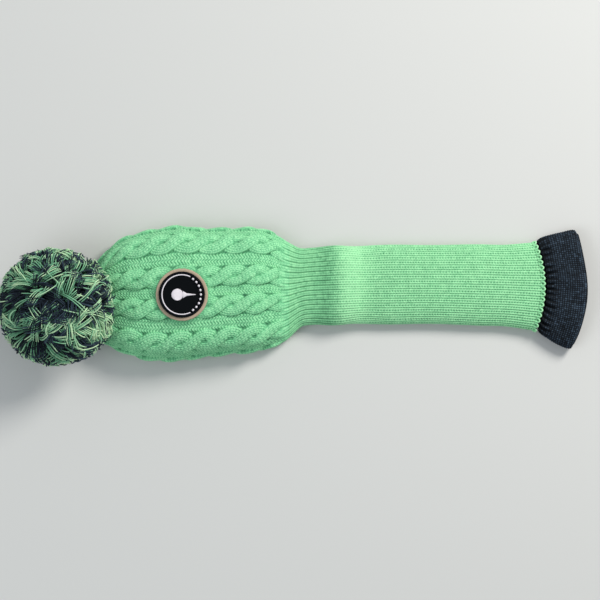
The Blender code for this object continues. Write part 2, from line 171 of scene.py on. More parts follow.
def mint_stations(inset):
    """Every cross-section of the mint tube, from the gathered crown to the seam of the cuff."""
    turns = np.linspace(0.0, 1.0, 161) ** 1.3
    head = np.linspace(HEAD_WIDEST_X, THROAT_X, 181)[1:]
    neck = np.linspace(THROAT_X, SEAM_X, 361)[1:]
    parts = [crown_station(turns, inset), body_station(head, inset), neck_station(neck, inset)]
    return np.concatenate(parts, axis=1)


def rings(stations, count, detail=1440):
    """Points of each cross-section, evenly spaced from the middle of its top, towards -Y first."""
    x, half_width, top, base, lead = (row[:, None] for row in stations)
    angle = math.pi / 2 + TAU * np.arange(detail + 1) / detail
    across, up = np.cos(angle)[None], np.sin(angle)[None]
    widest = base + WIDEST_SHARE * (top - base)
    y = half_width * np.sign(across) * np.abs(across) ** (2 / SIDE_POWER)
    lift = np.abs(up) ** (2 / SIDE_POWER)
    low = np.maximum(base, widest - 1.16 * (widest - base) * lift)
    z = np.where(up >= 0, widest + (top - widest) * lift, low)
    steps = np.hypot(np.diff(y, axis=1), np.diff(z, axis=1))
    run = np.concatenate([np.zeros((len(x), 1)), np.cumsum(steps, axis=1)], axis=1)
    made = np.empty((len(x), count, 3))
    for i in range(len(x)):
        want = np.arange(count) / count * run[i, -1]
        yi, zi = np.interp(want, run[i], y[i]), np.interp(want, run[i], z[i])
        xi = x[i, 0] + lead[i, 0] * (1 - (yi / half_width[i, 0]) ** 2)
        made[i] = np.stack([xi, centre_y(xi) + yi, zi], axis=1)
    return made, run[:, -1]


def resample(stations, places):
    """Stations at fractional row numbers."""
    rows = np.arange(stations.shape[1])
    return np.stack([np.interp(places, rows, row) for row in stations])


def grid_normals(points):
    """Outward unit normals of a grid of closed rings."""
    along = np.gradient(points, axis=0)
    around = np.roll(points, -1, axis=1) - np.roll(points, 1, axis=1)
    normal = np.cross(along, around)
    normal /= np.maximum(np.linalg.norm(normal, axis=2, keepdims=True), 1e-12)
    outward = points - points.mean(axis=1, keepdims=True)
    return normal * np.sign((normal * outward).sum(axis=2).mean() or 1.0)


# ---------- meshes


class Parts:
    """Collects grids and tubes that become one mesh, with a map and the tone of its yarn at each
    point, which carries painted shade and light.
    """

    def __init__(self):
        self.points, self.faces, self.maps, self.tones, self.normals = [], [], [], [], []
        self.total = 0

    def grid(self, points, tone, row_v=None, loop=False, normals=None):
        """Closed rings skinned one after another; with loop, the last ring also joins the first."""
        rows, columns = points.shape[:2]
        index = np.arange(rows * columns).reshape(rows, columns)
        if loop:
            index = np.vstack([index, index[:1]])
        following = np.roll(index, -1, axis=1)
        faces = [index[:-1], following[:-1], following[1:], index[1:]]
        faces = np.stack(faces, axis=-1).reshape(-1, 4)
        row_v = np.linspace(0, 1, len(index)) if row_v is None else np.asarray(row_v)
        left = np.broadcast_to(np.arange(columns) / columns, (len(index) - 1, columns))
        right = left + 1 / columns
        low = np.broadcast_to(row_v[:-1, None], left.shape)
        high = np.broadcast_to(row_v[1:, None], left.shape)
        corners = [(left, low), (right, low), (right, high), (left, high)]
        return self.add(points, faces, corners, tone, normals)

    def add(self, points, faces, corners, tone, normals):
        """Takes in points and their faces; corners are the map's places of each face."""
        maps = np.stack([np.stack(pair, axis=-1) for pair in corners], axis=-2).reshape(-1, 4, 2)
        self.faces.append(faces + self.total)
        self.maps.append(maps)
        self.points.append(points.reshape(-1, 3))
        self.tones.append(np.broadcast_to(np.asarray(tone, float), points.shape[:-1]).reshape(-1))
        self.normals.append(None if normals is None else normals.reshape(-1, 3))
        self.total += points.size // 3
        return self

    def tubes(self, paths, radius, sides, tone):
        """Round strands along paths of shape (strands, points, 3). Radius and tone may vary."""
        count, steps = paths.shape[:2]
        radius = np.broadcast_to(np.asarray(radius, float), (count, steps))
        tone = np.broadcast_to(np.asarray(tone, float), (count, steps))
        tangent = np.gradient(paths, axis=1)
        tangent /= np.maximum(np.linalg.norm(tangent, axis=2, keepdims=True), 1e-9)
        helper = np.where(np.abs(tangent[:, :1, 2:]) > 0.9, [[[1.0, 0, 0]]], [[[0, 0, 1.0]]])
        normal = np.cross(tangent[:, 0], helper[:, 0])
        frames = np.empty_like(paths)
        for step in range(steps):
            normal = normal - (normal * tangent[:, step]).sum(1, keepdims=True) * tangent[:, step]
            normal /= np.maximum(np.linalg.norm(normal, axis=1, keepdims=True), 1e-9)
            frames[:, step] = normal
        second = np.cross(tangent, frames)
        angle = TAU * np.arange(sides)[:, None] / sides
        spread = frames[:, :, None] * np.cos(angle) + second[:, :, None] * np.sin(angle)
        ring = paths[:, :, None] + spread * radius[:, :, None, None]
        index = np.arange(count * steps * sides).reshape(count, steps, sides)
        following = np.roll(index, -1, axis=2)
        faces = [following[:, :-1], index[:, :-1], index[:, 1:], following[:, 1:]]
        faces = np.stack(faces, axis=-1).reshape(-1, 4)
        lane = np.arange(count)[:, None, None] + np.arange(sides) / sides * 0.9
        along = np.linspace(0, 1, steps)
        left = np.broadcast_to((lane + 0.045 / sides) / count, (count, steps - 1, sides))
        right = np.broadcast_to((lane + 0.855 / sides) / count, left.shape)
        low = np.broadcast_to(along[:-1, None], left.shape)
        high = np.broadcast_to(along[1:, None], left.shape)
        corners = [(right, low), (left, low), (left, high), (right, high)]
        return self.add(ring, faces, corners, np.repeat(tone[..., None], sides, axis=2), None)

    def make(self, name, surface):
        """The collected mesh as an object."""
        points = np.concatenate(self.points).astype(np.float32)
        faces = np.concatenate(self.faces).astype(np.int32)
        maps = np.concatenate(self.maps).astype(np.float32)
        tones = np.concatenate(self.tones).astype(np.float32)
        mesh = bpy.data.meshes.new(name)
        mesh.vertices.add(len(points))
        mesh.vertices.foreach_set("co", points.ravel())
        mesh.loops.add(faces.size)
        mesh.loops.foreach_set("vertex_index", faces.ravel())
        mesh.polygons.add(len(faces))
        mesh.polygons.foreach_set("loop_start", np.arange(0, faces.size, 4, dtype=np.int32))
        mesh.update(calc_edges=True)
        layer = mesh.uv_layers.new(name="OFBake")
        layer.data.foreach_set("uv", maps.ravel())
        tone = mesh.attributes.new("tone", "FLOAT", "POINT")
        tone.data.foreach_set("value", tones)
        mesh.materials.append(surface)
        mesh.shade_smooth()
        mesh.validate()
        if all(part is not None for part in self.normals):
            mesh.normals_split_custom_set_from_vertices(np.concatenate(self.normals).tolist())
        made = bpy.data.objects.new(name, mesh)
        bpy.context.scene.collection.objects.link(made)
        return made


# ---------- materials


class Nodes:
    """A material's nodes, made by short calls."""

    def __init__(self, name, rough, gloss):
        self.material = bpy.data.materials.new(name)
        self.material.use_nodes = True
        self.tree = self.material.node_tree
        self.shader = self.tree.nodes["Principled BSDF"]
        self.shader.inputs["Roughness"].default_value = rough
        self.shader.inputs["Specular IOR Level"].default_value = gloss

    def node(self, kind, **values):
        made = self.tree.nodes.new(kind)
        for key, value in values.items():
            setattr(made, key, value)
        return made

    def link(self, source, target):
        self.tree.links.new(source, target)

    def noise(self, coordinates, scale, detail, roughness):
        made = self.node("ShaderNodeTexNoise")
        made.inputs["Scale"].default_value = scale
        made.inputs["Detail"].default_value = detail
        made.inputs["Roughness"].default_value = roughness
        self.link(coordinates, made.inputs["Vector"])
        return made.outputs["Fac"]

    def ramp(self, factor, stops):
        made = self.node("ShaderNodeValToRGB")
        band = made.color_ramp
        while len(band.elements) < len(stops):
            band.elements.new(0.5)
        for element, (place, colour) in zip(band.elements, stops):
            element.position = place
            element.color = colour
        self.link(factor, made.inputs["Fac"])
        return made.outputs["Color"]

    def maths(self, operation, first, second=None, clamp=False):
        made = self.node("ShaderNodeMath", operation=operation, use_clamp=clamp)
        for socket, value in zip(made.inputs, (first, second)):
            if value is None:
                continue
            if isinstance(value, (int, float)):
                socket.default_value = value
            else:
                self.link(value, socket)
        return made.outputs[0]

    def bump(self, height, strength, distance):
        made = self.node("ShaderNodeBump")
        made.inputs["Strength"].default_value = strength
        made.inputs["Distance"].default_value = distance
        self.link(height, made.inputs["Height"])
        self.link(made.outputs["Normal"], self.shader.inputs["Normal"])


def shade(colour):
    """An sRGB colour from 0 to 255 as a linear one."""
    value = np.array(colour) / 255
    linear = np.where(value <= 0.04045, value / 12.92, ((value + 0.055) / 1.055) ** 2.4)
    return (*linear.tolist(), 1.0)


FIBRE_SCALE, FIBRE_DEPTH = 2600, 0.00035
BLOTCH_SCALE = 160


def yarn(
    name, deep, mid, light, sheen=0.35, roughness=0.88, fibre=0.5, blotch=0.12, gloss=0.25
):
    """Matt spun yarn: painted shade in its crevices and painted light on its ridges through its tone,
    with fibre fuzz, soft blotches and a little sheen.
    """
    made = Nodes(name, roughness, gloss)
    tone = made.node("ShaderNodeAttribute", attribute_name="tone").outputs["Fac"]
    place = made.node("ShaderNodeTexCoord").outputs["Object"]
    fine = made.noise(place, FIBRE_SCALE, 3, 0.65)
    patch = made.noise(place, BLOTCH_SCALE, 3, 0.6)
    fuzz = made.maths("MULTIPLY", made.maths("SUBTRACT", fine, 0.5), 0.5)
    shaded = made.maths("ADD", tone, fuzz, clamp=True)
    # the ramp turns the tone's painted shade and light into the base colour
    base = made.ramp(shaded, [(0.0, shade(deep)), (0.5, shade(mid)), (1.0, shade(light))])
    shift = made.maths("ADD", made.maths("MULTIPLY", patch, 2 * blotch), 1 - blotch)
    value = made.node("ShaderNodeHueSaturation")
    made.link(shift, value.inputs["Value"])
    made.link(base, value.inputs["Color"])
    made.link(value.outputs["Color"], made.shader.inputs["Base Color"])
    rough = made.maths("ADD", made.maths("MULTIPLY", fine, 0.12), roughness - 0.06)
    made.link(rough, made.shader.inputs["Roughness"])
    made.shader.inputs["Sheen Weight"].default_value = sheen
    made.shader.inputs["Sheen Roughness"].default_value = 0.45
    made.shader.inputs["Sheen Tint"].default_value = shade(light)
    made.bump(fine, fibre, FIBRE_DEPTH)
    return made.material


mint = yarn("mint yarn", (50, 115, 80), (116, 195, 142), (166, 234, 178))
mint_rib = yarn("mint rib yarn", (54, 114, 78), (124, 196, 143), (164, 228, 172))
# a lighter copy of the mint yarn: painted light on the standing seam loops and the linking chain
mint_chain = yarn("mint seam yarn", (70, 140, 98), (140, 214, 158), (176, 236, 182))
navy = yarn("navy yarn", (2, 5, 8), (11, 19, 27), (64, 80, 96), sheen=0.2)
lining = yarn("lining jersey", (70, 74, 74), (128, 132, 132), (160, 164, 164), sheen=0.1)
pile_mint = yarn("mint pile", (22, 62, 46), (112, 176, 138), (204, 236, 190), blotch=0.25)
pile_navy = yarn("navy pile", (3, 6, 10), (19, 28, 40), (54, 70, 84), blotch=0.25)
tie_yarn = yarn("tie yarn", (6, 9, 14), (20, 27, 38), (44, 54, 66))
felt = yarn("badge felt", (124, 106, 88), (164, 146, 124), (198, 178, 156), fibre=0.8)
badge_black = yarn(
    "badge black thread", (1, 2, 4), (4, 7, 10), (18, 23, 28), sheen=0.0, roughness=0.8, gloss=0.08
)
badge_white = yarn(
    "badge white thread", (150, 142, 150), (218, 210, 218), (240, 234, 238), roughness=0.55
)


# ---------- stitches


def stitch_leg(side, course, slant, cut):
    """Height from 0 to 1 of one slanting leg of a stitch; side runs across it from 0 to 1."""
    hump = np.sqrt(np.clip(1 - ((side - 0.5) / 0.5) ** 2, 0, 1))
    return hump**0.8 * (1 - cut * cyclic(course + slant * side) ** 3)


def plain_stitch(wale, course):
    """Height from 0 to 1 of stocking stitch: columns of nested Vs."""
    return stitch_leg(cyclic(wale), course, 0.75, 0.62)


def purl_stitch(wale, course):
    """Height from 0 to 1 of reverse stocking stitch: courses that zigzag from wale to wale."""
    zigzag = cyclic(wale) - 0.5
    ridge = cyclic(course + zigzag)
    return np.clip(1 - ridge**1.8, 0, 1) ** 0.8 * (0.86 + 0.14 * np.cos(TAU * 2 * wale))


def rib_stitch(wale, course):
    """(broad height, fine height, hole) of one-by-one rib: a rib and its groove take two wales."""
    off = cyclic(wale / 2)
    broad = np.clip(1 - off**4, 0, 1) ** 0.7
    fine = stitch_leg(np.clip(off / 0.92, 0, 1), course, 0.70, 0.50)
    hole = bell(off, 0, 0.36) * np.clip(1 - (cyclic(course) / 0.75) ** 2, 0, 1)
    return broad, fine, hole


STRAND_REACH, STRAND_WIDTH = 0.47, 0.55
STRAND_HEIGHT, STRAND_LIFT = 0.0027, 0.0014
STITCH_DEPTH, PURL_DEPTH, RIB_DEPTH = 0.0011, 0.0012, 0.00085
PURL_LEVEL, PURL_WALES = -0.0021, 1.65
CREASE_WIDTH, CREASE_DEPTH, RECESS_DEPTH = 0.0006, 0.0005, 0.0009
CABLE_PITCH = 0.0161


def cable_units(wale):
    """Position in cable repeats; the middle cables of each face lie a little closer together."""
    unit = wale * CABLES / WALES
    period = CABLES / 4
    return unit + 0.05 * np.sin(TAU * unit / period)


def cable_relief(wale, course, turn):
    """(height, tone) of the head's knit, its tone painted shade; turn counts crossings along X."""
    unit = cable_units(wale)
    local = (0.5 + np.floor(unit) - unit) * 2 / CABLE_SHARE
    swing, facing = np.sin(math.pi * turn), np.cos(math.pi * turn)
    run = HEAD_COURSE * COURSES_PER_CROSSING
    slope = np.abs(facing) * math.pi * STRAND_REACH * CABLE_SHARE * CABLE_PITCH / run
    width = STRAND_WIDTH * np.sqrt(1 + slope**2)
    ground = purl_stitch(PURL_WALES * (unit + 0.5) / (1 - CABLE_SHARE), course)
    beside = np.clip((np.abs(local) - 0.60) / 0.5, 0, 1)
    height = PURL_LEVEL + PURL_DEPTH * (ground - 0.5)
    # painted shade in the purl's hollows and on the ground beside the cables
    tone = (0.02 + 0.98 * ground) * (0.55 + 0.45 * beside)
    strands = []
    for sign in (1, -1):
        across = (local - sign * STRAND_REACH * swing) / width
        dome = np.sqrt(np.clip(1 - across**2, 0, 1))
        stitched = plain_stitch(1.5 * (across + 1), course - 0.9 * sign * facing * across)
        strand = PURL_LEVEL + STRAND_HEIGHT * dome**0.65 + sign * STRAND_LIFT * facing
        strands.append(np.where(np.abs(across) < 1, strand, PURL_LEVEL - STRAND_LIFT))
        strand = strand + STITCH_DEPTH * (stitched - 0.6) * np.clip(dome * 1.6, 0, 1)
        higher = (np.abs(across) < 1) & (strand > height)
        height = np.where(higher, strand, height)
        # painted shade on the strands' sides and between their stitches
        tone = np.where(higher, (0.05 + 0.95 * stitched**1.3) * np.clip(dome * 1.7, 0.05, 1), tone)
    # painted shade in the creases between the strands and in the cables' recesses; both are also
    # lowered
    crease = bell(strands[0], strands[1], CREASE_WIDTH) * (np.abs(local) < 0.9)
    recess = bell(swing**2, 1, 0.16) * bell(local, 0.06, 0.22)
    height = height - CREASE_DEPTH * crease - RECESS_DEPTH * recess
    return height, tone * (1 - 0.65 * crease) * (1 - 0.38 * recess)


def rib_relief(wale, course, x):
    """(height, tone) of the rib: drawn together at the throat, open down the neck.

    The tone is painted shade in the grooves and holes, and darker where the rib is drawn together. It
    is darker at the throat, where the tube leaves the head, painted shade in the dip and up the rise
    to the crest, and painted light over the crest.
    """
    broad, fine, hole = rib_stitch(wale, course)
    opened = smoothstep(0.020, 0.050, x)
    height = RIB_DEPTH * mix(0.90, 0.50, opened) * (broad - 0.70) + 0.0004 * (fine - 0.5)
    height = height - 0.0005 * hole * opened
    between_holes = np.clip(1 - (cyclic(course + 0.5) / 0.75) ** 2, 0, 1)
    groove = (1 - broad) * mix(0.37, 0.18 + 0.62 * between_holes, opened)
    # painted shade in the grooves and holes, darker where the rib is drawn together
    tone = mix(0.49, 0.62, opened) + 0.38 * fine - groove - mix(0.15, 0.75, opened) * hole
    # darker at the throat, painted shade in the dip and up to the crest, painted light over the crest
    slant = -0.12 * bell(x, 0.004, 0.012) - 0.27 * bell(x, 0.029, 0.013)
    slant = slant + 0.30 * bell(x, 0.053, 0.011)
    return height, np.clip(np.clip(tone, 0.02, 1) + slant, 0.02, 1)


# ---------- the mint tube


PLEATS, PLEAT_DEPTH = 24, 0.0011
COURSE_SLANT = 0.0034
CREST_HEIGHT = 0.0056
FLOOR_EASE, FLOOR_GAP = 0.0004, 0.0001
FLOOR_FLATTENING = 0.12
INNER_STEP, INNER_TONE = 8, 0.4


def knit_rows():
    """Stations, the places of the rows along them and each row's course: even rows to each course."""
    stations = mint_stations(0.0)
    coarse, _ = rings(stations, 48, 480)
    steps = np.linalg.norm(np.diff(coarse, axis=0), axis=2).mean(axis=1)
    middle = stations[0][:-1]
    pitch = mix(HEAD_COURSE, NECK_COURSE, smoothstep(-0.03, 0.01, middle))
    course = np.concatenate([[0.0], np.cumsum(steps / pitch)])
    count = int(round(course[-1] * ROWS_PER_COURSE)) + 1
    want = np.linspace(0, course[-1], count)
    return stations, np.interp(want, course, np.arange(len(course))), want


def knit_course(row_course, row_x, wale):
    """The course at each point: it slants round the head and wanders a little everywhere."""
    slant = COURSE_SLANT / HEAD_COURSE * np.sin(TAU * wale / WALES)
    wander = 0.16 * np.sin(0.9 * wale + 0.23 * row_course)
    wander = wander + 0.13 * np.sin(0.37 * row_course - 1.7 * wale)
    return row_course + slant * (1 - smoothstep(-0.03, -0.01, row_x)) + wander


def knit_surface():
    """Outer face of the whole mint tube: its points, tones, row places and the X of each row."""
    stations, places, row_course = knit_rows()
    row_station = resample(stations, places)
    x = row_station[0][:, None]
    skin, girth = rings(row_station, columns)
    facing = grid_normals(skin)
    wale = np.broadcast_to(np.arange(columns) / AROUND_PER_WALE, skin.shape[:2])
    course = knit_course(row_course[:, None], x, wale)
    first_crossing = np.interp(CROSSING_X, row_station[0], row_course)
    turn = (course - first_crossing) / COURSES_PER_CROSSING
    cable_height, cable_tone = cable_relief(wale, course, turn)
    rib_height, rib_tone = rib_relief(wale, course, x)
    cells = random.normal(0, 1, (int(course.max()) + 4, WALES + 1))
    own_tone = cells[np.floor(course).astype(int) + 1, np.floor(wale).astype(int)]
    ribbed = smoothstep(RIB_FROM_X, RIB_FULL_X, x)
    stitch_width = (girth / WALES)[:, None]
    full_size = np.clip(stitch_width / 0.0040, 0.12, 1.0)
    relief = mix(cable_height * full_size, rib_height, ribbed)
    tone = np.clip(mix(cable_tone, rib_tone, ribbed) + 0.07 * own_tone, 0, 1)
    pleat = PLEAT_DEPTH * np.cos(TAU * PLEATS * wale / WALES) * np.clip(stitch_width / 0.0012, 0, 1)
    relief = relief + pleat * (1 - smoothstep(CROWN_TIP_X, CROWN_TIP_X + 0.020, x))
    crest = CREST_HEIGHT * (smoothstep(0.014, 0.045, x) - smoothstep(0.042, 0.074, x))
    cad_crest = HUMP_HEIGHT * bell(x, HUMP_X, HUMP_SPREAD) - DIP_DEPTH * bell(x, DIP_X, DIP_SPREAD)
    relief = relief + np.clip(facing[..., 2], 0, 1) * (crest - cad_crest)
    knit = skin + facing * relief[..., None]
    off_badge = np.hypot(skin[..., 0] - BADGE[0], skin[..., 1] - BADGE[1])
    pressed = 1 - smoothstep(BADGE_RADIUS - 0.002, BADGE_RADIUS + 0.006, off_badge)
    pressed = pressed * (facing[..., 2] > 0.3)
    bed = HEAD_HEIGHT + 0.0001 - 0.0002 * (off_badge / BADGE_RADIUS) ** 2
    z = mix(knit[..., 2], bed, pressed)
    z = np.where(z < FLOOR_EASE, FLOOR_EASE + FLOOR_FLATTENING * (z - FLOOR_EASE), z)
    knit[..., 2] = np.maximum(z, FLOOR_GAP)
    # painted shadow of the badge: the knit under and just round it is darker
    return knit, tone * (1 - 0.45 * pressed), places, row_station[0]


random = np.random.default_rng(41)
columns = WALES * AROUND_PER_WALE
knit, tone, places, row_x = knit_surface()
knit_normal = grid_normals(knit)
inside, _ = rings(resample(mint_stations(NECK_WALL), places), columns)
inside_normal = -grid_normals(inside)


def row_at(x):
    return int(np.argmin(np.abs(row_x - x)))


def knit_piece(name, first, last, surface):
    """One length of the mint tube, closed through its smoother inner face."""
    inner_rows = np.unique(np.append(np.arange(first, last, INNER_STEP), last))[::-1]
    outer = slice(first, last + 1)
    points = np.concatenate([knit[outer], inside[inner_rows]])
    normals = np.concatenate([knit_normal[outer], inside_normal[inner_rows]])
    tones = np.concatenate([tone[outer], np.full((len(inner_rows), columns), INNER_TONE)])
    outer_v = np.linspace(0, 0.84, last + 1 - first)
    row_v = np.concatenate([outer_v, np.linspace(0.86, 0.98, len(inner_rows)), [1.0]])
    return Parts().grid(points, tones, row_v, True, normals).make(name, surface)


head_last, upper_last, middle_last = row_at(HEAD_END_X), row_at(UPPER_END_X), row_at(MIDDLE_END_X)
head_knit = knit_piece("head_cable_knit", 0, head_last, mint)
upper_rib = knit_piece("neck_rib_throat", head_last, upper_last, mint_rib)
middle_rib = knit_piece("neck_rib_middle", upper_last, middle_last, mint_rib)
lower_rib = knit_piece("neck_rib_mouth", middle_last, len(row_x) - 1, mint_rib)
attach(head_knit, "head")
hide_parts("head_shell")
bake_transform(upper_rib)
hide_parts("neck_upper_sleeve")
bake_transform(middle_rib)
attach(lower_rib, "neck_lower")
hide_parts("neck_lower_sleeve")


# ---------- cuff

CUFF_WALES, CUFF_COURSES = 120, 17
CUFF_AROUND, CUFF_ROWS = 6, 5
GATHER_FOLDS, GATHER_RUN, GATHER_DEPTH, GATHER_PAINTED_SHADE = 36, 0.36, 0.0019, 0.80
JERSEY_DEPTH, HEM_THINNING = 0.00075, 0.0014
HEM_EASE, HEM_REACH, HEM_SHIFT = 0.0014, 0.0068, 0.0010
HEM_CORNER, HEM_SETBACK, CORNER_FROM = 0.0040, 0.0008, 0.70
HEM_BULGE = np.array((0.0011, 0, 0))
FLARED_HALF_WIDTH = 0.0556


def cuff_rings(along, inset, count):
    """Rings of the cuff: it flares at once, its +Y end reaches farther, its corners are round."""
    station = cuff_station(along, inset)
    corner = np.clip((along - CORNER_FROM) / (1 - CORNER_FROM), 0, 1) ** 3
    flared = mix(SEAM_HALF_WIDTH, FLARED_HALF_WIDTH, along**0.62) - inset
    station[1] = flared - HEM_CORNER * corner
    made, _ = rings(station, count)
    share = (made[..., 1] - centre_y(made[..., 0])) / station[1][:, None]
    row = along[:, None]
    back = HEM_EASE * (1 - share**4) + HEM_SETBACK * corner[:, None] * share**8
    reach = HEM_REACH * np.where(share > 0, 1.0, 0.4) * np.abs(share) ** 3
    made[..., 0] += row * (reach - back)
    made[..., 1] -= HEM_SHIFT * row
    return made


def jersey_cuff():
    """A band of fine jersey, gathered into the seam, turned in at the hem and run back inside."""
    rows = CUFF_COURSES * CUFF_ROWS + 1
    count = CUFF_WALES * CUFF_AROUND
    along = np.linspace(0, 1, rows)
    outer = cuff_rings(along, 0.0, count)
    column = np.broadcast_to(np.arange(count) / CUFF_AROUND, outer.shape[:2])
    row = along[:, None] * CUFF_COURSES + 0.12 * np.sin(0.31 * column)
    knot = np.clip(1 - cyclic(column) ** 2, 0, 1) * np.clip(1 - cyclic(row) ** 2, 0, 1)
    stitched = 0.35 * plain_stitch(column, row) + 0.65 * knot**1.5
    turn = TAU * column / CUFF_WALES
    down = along[:, None]
    uneven = 0.6 * np.sin(5 * turn) + 0.5 * np.sin(7 * down + 3 * turn)
    fold = np.cos(GATHER_FOLDS * turn + uneven)
    gather = (1 - smoothstep(0.05, GATHER_RUN, down)) * (0.75 + 0.25 * np.sin(11 * turn + 1))
    lump = (np.sin(3 * turn + 4 * down) + np.sin(7 * turn - 5 * down)) * 0.00035
    edge = smoothstep(0.86, 1.0, down)
    height = gather * GATHER_DEPTH * (fold - 0.6) + JERSEY_DEPTH * (stitched - 0.5) + lump
    height = height - HEM_THINNING * edge**2
    cloth = outer + grid_normals(outer) * height[..., None]
    cells = random.normal(0, 0.10, (CUFF_COURSES + 3, CUFF_WALES + 1))
    # painted shade between the stitches' knots and in the valleys of the gathers
    tones = (0.02 + 1.10 * stitched) * (1 - GATHER_PAINTED_SHADE * gather * (0.5 - 0.5 * fold))
    # darker right at the seam and lighter at the turned hem
    tones = tones * (1 - 0.45 * bell(down, 0.0, 0.05)) + 0.12 * edge
    tones = tones + cells[np.floor(row).astype(int) + 1, np.floor(column).astype(int)]
    cloth[..., 2] = np.maximum(cloth[..., 2], FLOOR_GAP)
    inner_along = along[::-4]
    inner = cuff_rings(inner_along, CUFF_WALL, count)
    t = np.linspace(0, 1, 9)[1:-1, None, None]
    lip = mix(cloth[-1], inner[0], t) + HEM_BULGE * np.sin(math.pi * t)
    # painted shade: the inside run of the band is darker
    inner_tone = 0.12 + 0.4 * purl_stitch(column[: len(inner)], inner_along[:, None] * CUFF_COURSES)
    tones = np.concatenate([tones, np.full(lip.shape[:2], 0.5), inner_tone])
    points = np.concatenate([cloth, lip, inner])
    return Parts().grid(points, tones, loop=True).make("cuff_jersey_band", navy)


cuff = jersey_cuff()
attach(cuff, "neck_lower")
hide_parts("cuff_band")


LOOP_STEPS, LOOP_RADIUS, LOOP_HALF_WIDTH = 15, 0.00074, 0.36
CHAIN_STEPS, CHAIN_YARN_RADIUS = 720, 0.0007
LEAST_HEIGHT = 0.0008


def ring_point(ring, place):
    """The point at a fractional place on a closed ring."""
    low = int(place)
    return mix(ring[low], ring[(low + 1) % len(ring)], place - low)


def seam_loop(near_ring, far_ring, middle, rib_columns):
    """One standing loop of yarn, out of the rib and back into it."""
    steps = []
    for t in np.linspace(0, 1, LOOP_STEPS):
        rise = math.sin(math.pi * t)
        side = -math.cos(math.pi * t) * LOOP_HALF_WIDTH * rib_columns * (1 - 0.25 * rise**4)
        place = (middle + side) % columns
        near, far = ring_point(near_ring, place), ring_point(far_ring, place)
        outward = near - np.array((near[0], centre_y(near[0]), 0.008))
        outward[1] *= 0.15
        outward /= np.linalg.norm(outward)
        start = near - (far - near) * 0.30
        steps.append(mix(start, far, rise**0.7 * 0.50) + outward * (0.0002 + 0.0009 * rise**0.7))
    return steps


def seam_loops():
    """The rib's last course linked to the cuff: one small standing loop of yarn at each rib."""
    near_ring, _ = rings(neck_station(np.array([SEAM_X]), 0.0), columns)
    far_ring, _ = rings(cuff_station(np.array([0.045]), 0.0), columns)
    rib_columns = 2 * columns / WALES
    middles = (np.arange(WALES // 2) + 0.5) * rib_columns
    near_ring, far_ring = near_ring[0], far_ring[0]
    paths = np.array([seam_loop(near_ring, far_ring, middle, rib_columns) for middle in middles])
    paths[..., 2] = np.maximum(paths[..., 2], LEAST_HEIGHT)
    # painted light over the top of each loop and painted shade at its feet, where it goes into the rib
    painted_loop_light = 0.55 + 0.45 * np.sin(np.linspace(0, math.pi, LOOP_STEPS)) ** 2
    parts = Parts()
    parts.tubes(paths, LOOP_RADIUS, 7, painted_loop_light[None])
    chain, _ = rings(neck_station(np.array([SEAM_X]), 0.0004), CHAIN_STEPS)
    chain = chain[0]
    chain[:, 0] += 0.0007 + 0.0004 * np.sin(TAU * WALES * np.arange(CHAIN_STEPS) / CHAIN_STEPS)
    chain = np.concatenate([chain, chain[:1]])
    chain[:, 2] = np.maximum(chain[:, 2], LEAST_HEIGHT)
    parts.tubes(chain[None], CHAIN_YARN_RADIUS, 6, 0.35)
    return parts.make("cuff_seam_loops", mint_chain)


loops = seam_loops()
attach(loops, "neck_lower")
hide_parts("cuff_linking_chain")


# ---------- lining, drawstring, knots


LINING_THICK, LINING_INSET = 0.0005, 0.0046
LINING_END_X, LINING_MOUTH_X = -0.0068, 0.0100
LINING_AROUND = 180


def lining_bag():
    """The jersey bag in the head: closed at the crown, slack folds along it, a low mouth."""
    turns = np.linspace(0.12, 1.0, 40)
    crown = crown_station(turns, LINING_INSET)
    crown[0] += 0.0095 * (1 - turns) ** 2
    along = np.linspace(HEAD_WIDEST_X, LINING_END_X, 40)[1:]
    body = body_station(along, LINING_INSET)
    pull = smoothstep(SHOULDER_X, LINING_END_X, along)
    for row, at_mouth in ((1, 0.0300), (2, 0.0142), (3, 0.0048)):
        body[row] = mix(body[row], at_mouth, pull)
    mouth = np.repeat(body[:, -1:], 4, axis=1)
    mouth[0] = np.linspace(LINING_END_X + 0.0020, LINING_MOUTH_X, 4)
    points, _ = rings(np.concatenate([crown, body, mouth], axis=1), LINING_AROUND, 720)
    around = TAU * np.arange(LINING_AROUND) / LINING_AROUND
    rows = np.arange(len(points))[:, None]
    folds = 0.0003 * np.sin(9 * around + 0.12 * rows) * np.sin(rows / len(points) * math.pi)
    tip = np.stack([mix(points[0].mean(axis=0), points[0], t) for t in (0.001, 0.5)])
    cloth = np.concatenate([tip, points + grid_normals(points) * (folds - 0.0003)[..., None]])
    back = cloth - grid_normals(cloth) * LINING_THICK
    points = np.concatenate([cloth, back[::-1]])
    return Parts().grid(points, 0.6, loop=True).make("head_lining_bag", lining)


bag = lining_bag()
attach(bag, "head")
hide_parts("head_lining")


def basis(axis):
    """Two unit vectors square to axis and to each other."""
    axis = np.asarray(axis, float) / np.linalg.norm(axis)
    helper = np.array((0.0, 0.0, 1.0)) if abs(axis[2]) < 0.9 else np.array((1.0, 0.0, 0.0))
    first = np.cross(axis, helper)
    first /= np.linalg.norm(first)
    return axis, first, np.cross(axis, first)


def wound_turns(centre, axis, radius, half_length, turns, steps, waist=0.0):
    """A path wound round an axis, back and forth along it."""
    axis, first, second = basis(axis)
    t = np.linspace(0, 1, steps)
    angle = TAU * turns * t
    along = half_length * np.sin(TAU * 1.5 * t)
    grown = np.sqrt(np.clip(1 - (1 - waist) * (along / (half_length * 1.05)) ** 2, 0.05, 1)) * radius
    side = np.cos(angle)[:, None] * first + np.sin(angle)[:, None] * second
    return centre + along[:, None] * axis + side * grown[:, None]


